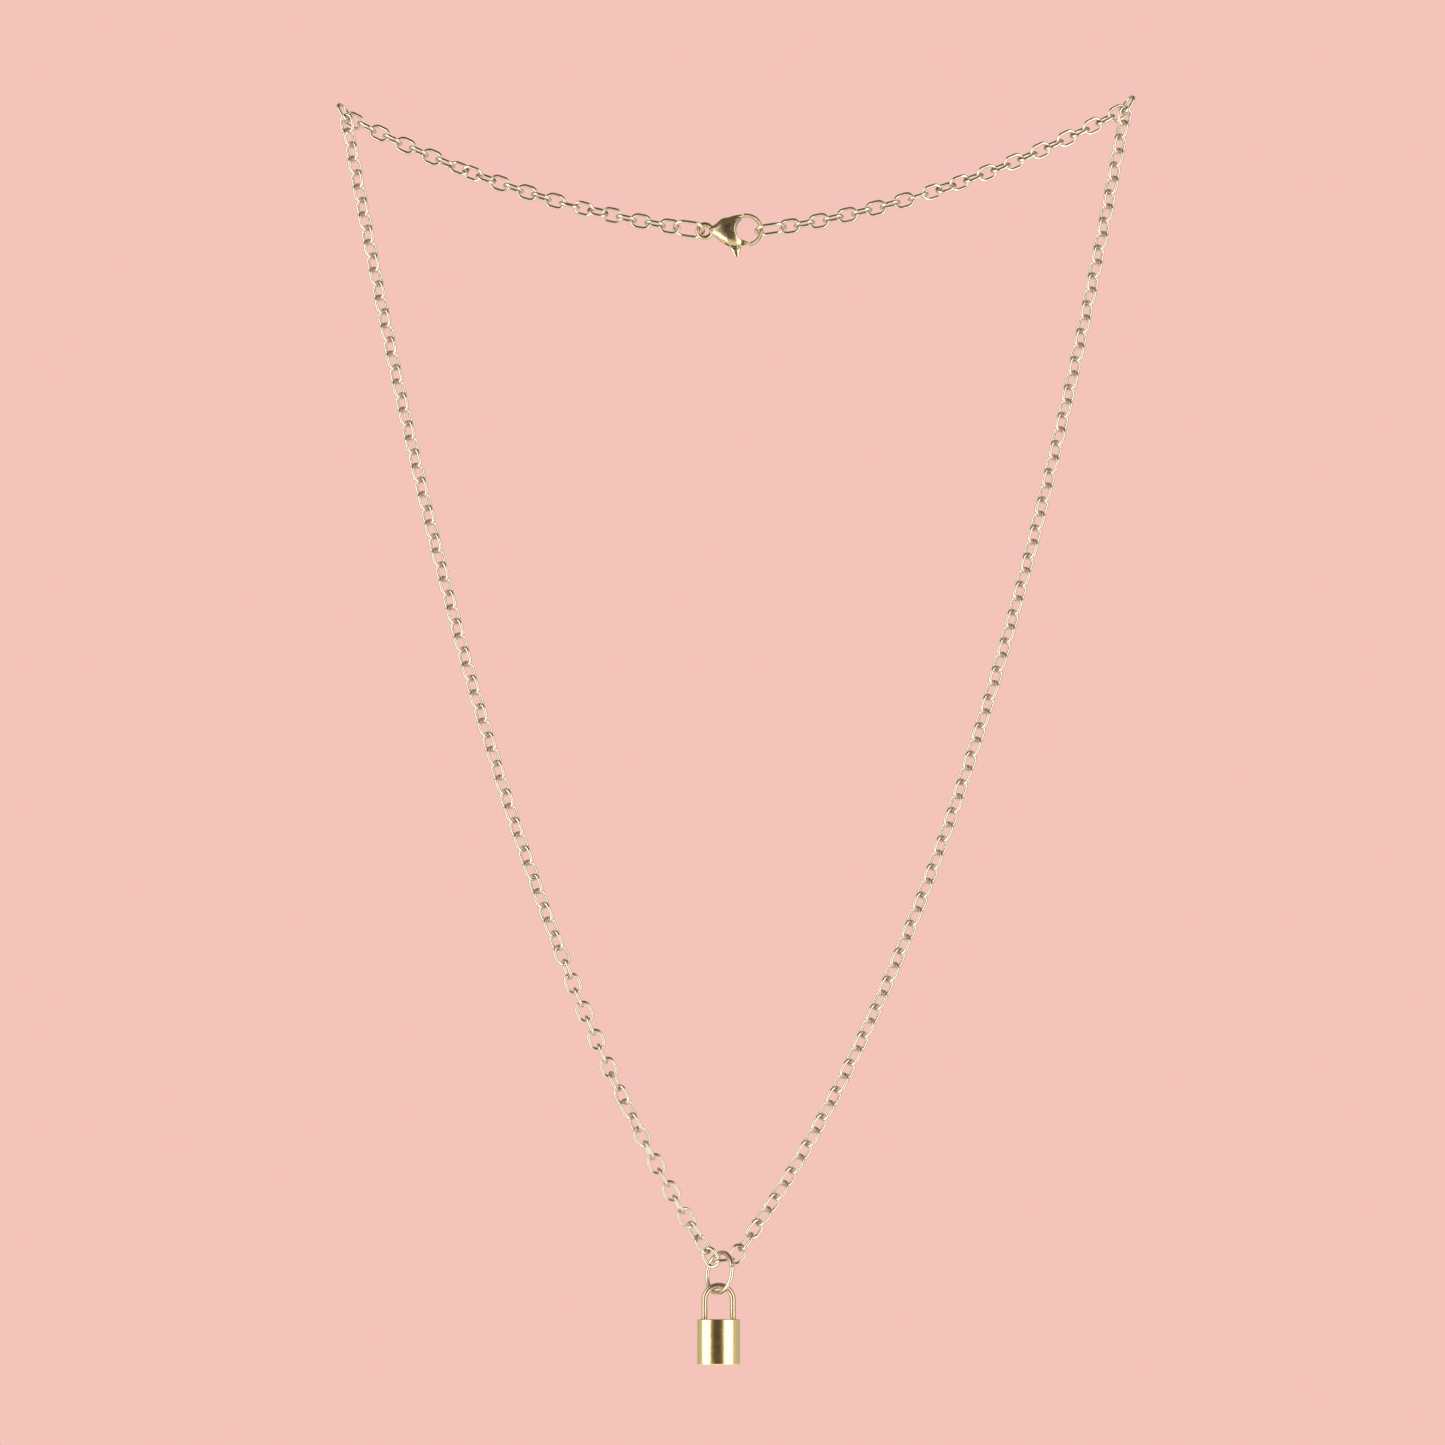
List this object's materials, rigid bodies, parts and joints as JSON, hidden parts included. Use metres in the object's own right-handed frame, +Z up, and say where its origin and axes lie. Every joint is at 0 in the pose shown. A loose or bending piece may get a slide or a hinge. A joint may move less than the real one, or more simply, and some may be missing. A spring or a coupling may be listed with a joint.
{
  "type": "padlock pendant necklace",
  "caption": "Long fine cable-chain necklace in gold metal, hanging in a deep V with a small plain padlock pendant on a jump ring, closed at the back by a lobster clasp.",
  "frame": {"origin": "midway between the two points that the necklace hangs from, the mount hanging_line", "axes": "+Z up, +X to the right as seen from the front, +Y away from the viewer; the chain hangs in the XZ plane"},
  "size_m": [0.1478, 0.0067, 0.2316],
  "materials": {
    "gold_chain": "polished",
    "gold_clasp": "polished",
    "gold_pendant": "polished"
  },
  "bodies": {
    "necklace": {"chain_left": "gold_chain", "chain_right": "gold_chain", "end_link_left": "gold_chain", "end_link_right": "gold_chain", "clasp_body": "gold_clasp"},
    "lever": {"clasp_lever": "gold_clasp"},
    "ring": {"jump_ring": "gold_pendant"},
    "padlock": {"padlock_body": "gold_pendant", "padlock_shackle": "gold_pendant"}
  },
  "joints": [
    {"name": "lever_hinge", "type": "hinge", "parent": "necklace", "child": "lever", "pos_m": [-0.0011, 0, -0.02617], "axis": [0, -1, 0], "range_deg": [0, 20], "stiffness_Nm_per_rad": 0.002, "springref_deg": -20.05},
    {"name": "ring_swing", "type": "hinge", "parent": "necklace", "child": "ring", "pos_m": [-0.00133, -0.0012, -0.21209], "axis": [0.9867, 0, 0.1625], "range_deg": [-10, 20]},
    {"name": "padlock_swing", "type": "hinge", "parent": "ring", "child": "padlock", "pos_m": [-0.00302, -0.0012, -0.2178], "axis": [0.6113, -0.77, 0.1829], "range_deg": [-60, 60]}
  ]
}
